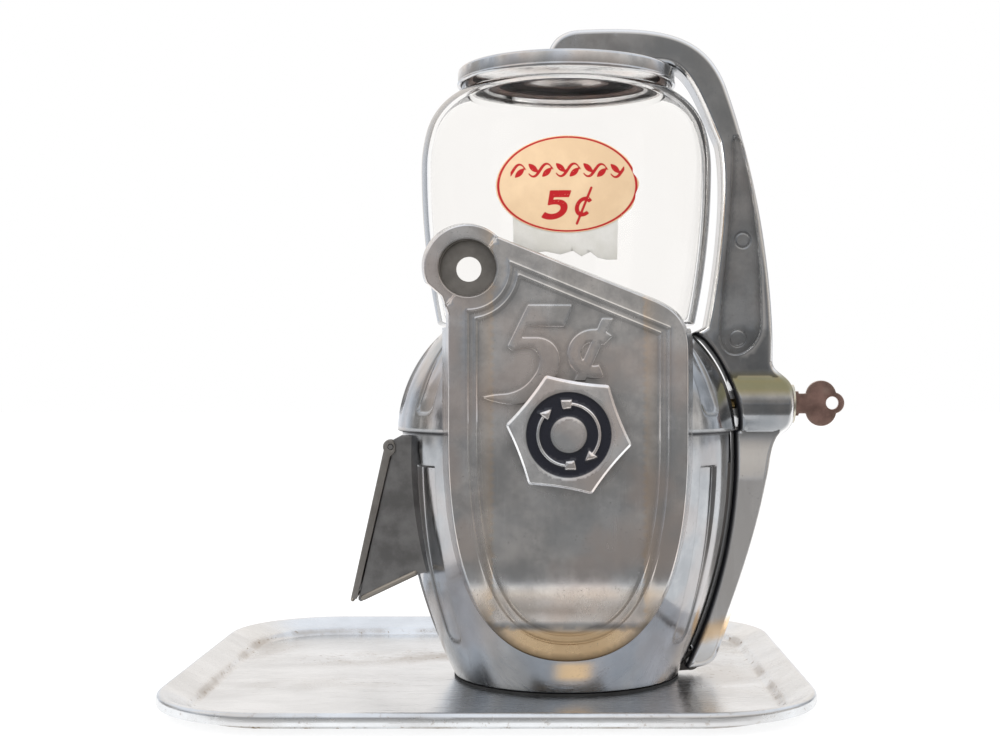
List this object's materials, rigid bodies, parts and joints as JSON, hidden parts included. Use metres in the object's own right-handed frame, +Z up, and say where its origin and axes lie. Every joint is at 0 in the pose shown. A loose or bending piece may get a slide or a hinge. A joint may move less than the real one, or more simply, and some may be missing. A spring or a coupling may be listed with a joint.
{
  "type": "nut vending machine",
  "caption": "Counter-top nut vending machine on a tray, with a glass globe, cast body, coin plate and knob, side chute with flap, and a hinged locking arm.",
  "frame": {"origin": "on the vertical axis of the body and globe, at the underside of the tray", "axes": "+Z up along the globe's axis, +X towards the arm and lock, -Y towards the customer who faces the coin plate"},
  "size_m": [0.2869, 0.23, 0.2857],
  "materials": {
    "tray_sheet": "polished, stained by use",
    "casting": "polished casting",
    "plate_casting": "polished casting, scuffed",
    "lid_sheet": "spun and polished",
    "knob_metal": "polished, with a black sunken dial",
    "globe_glass": "clear moulded glass",
    "steel": "plain",
    "brass": "worn",
    "old_brass": "darkened with age",
    "wheel_casting": "plain casting",
    "zinc_sheet": "dull zinc coat",
    "black_rubber": "matt",
    "grey_rubber": "matt",
    "red_rubber": "matt",
    "bristle": "matt bristles"
  },
  "bodies": {
    "machine": {"tray": "tray_sheet", "tray_screws": "steel", "foot_gasket": "black_rubber", "lower_body": "casting", "hopper_dome": "casting", "globe_gasket": "grey_rubber", "globe": "globe_glass", "lid_gasket": "red_rubber", "lid": "lid_sheet", "coin_plate": "plate_casting", "plate_screws": "steel", "coin_raceway": "plate_casting", "front_bush": "brass", "rear_bush": "brass", "mechanism_bracket": "steel", "bracket_screws": "steel", "pawl_pin": "steel", "pawl_spring": "steel", "wheel_spindle": "steel", "spindle_nut": "brass", "brush_holder": "steel", "dispensing_brush": "bristle", "inner_chute": "zinc_sheet", "chute_snout": "zinc_sheet", "flap_pin": "steel"},
    "knob_set": {"knob": "knob_metal", "knob_shaft": "steel", "coin_wheel": "brass", "ratchet_wheel": "steel", "shaft_collar": "steel", "drive_pinion": "brass"},
    "pawl": {"ratchet_pawl": "steel"},
    "wheel_set": {"product_wheel": "wheel_casting", "stirrer": "steel"},
    "flap": {"chute_flap": "zinc_sheet"},
    "arm_set": {"arm": "casting", "arm_pivot_pin": "steel", "lid_pad": "black_rubber", "lock_barrel": "brass", "lock_nut": "steel"},
    "lock_core": {"lock_plug": "brass", "lock_cam": "steel", "cam_screw": "steel"},
    "key": {"key": "old_brass"}
  },
  "joints": [
    {"name": "product_wheel_turn", "type": "hinge", "parent": "machine", "child": "wheel_set", "pos_m": [0, 0, 0.133], "axis": [0, 0, 1], "continuous": true},
    {"name": "knob_turn", "type": "hinge", "parent": "machine", "child": "knob_set", "pos_m": [0, -0.077, 0.1103], "axis": [0, 1, 0], "continuous": true},
    {"name": "pawl_lift", "type": "hinge", "parent": "machine", "child": "pawl", "pos_m": [0.022, -0.064, 0.1215], "axis": [0, 1, 0], "range_deg": [0, 12], "stiffness_Nm_per_rad": 0.004, "springref_deg": -17.19},
    {"name": "flap_swing", "type": "hinge", "parent": "machine", "child": "flap", "pos_m": [-0.0746, 0, 0.1032], "axis": [0, 1, 0], "range_deg": [0, 60]},
    {"name": "arm_swing", "type": "hinge", "parent": "machine", "child": "arm_set", "pos_m": [0.05467, 0, 0.008], "axis": [0, 1, 0], "range_deg": [0, 24]},
    {"name": "lock_turn", "type": "hinge", "parent": "arm_set", "child": "lock_core", "pos_m": [0.09, 0, 0.121], "axis": [1, 0, 0], "range_deg": [0, 90]},
    {"name": "key_pull", "type": "slide", "parent": "lock_core", "child": "key", "axis": [1, 0, 0], "range_m": [0, 0.025]}
  ],
  "couplings": [
    {"joint": "knob_turn", "follows": "product_wheel_turn", "ratio": 3}
  ]
}
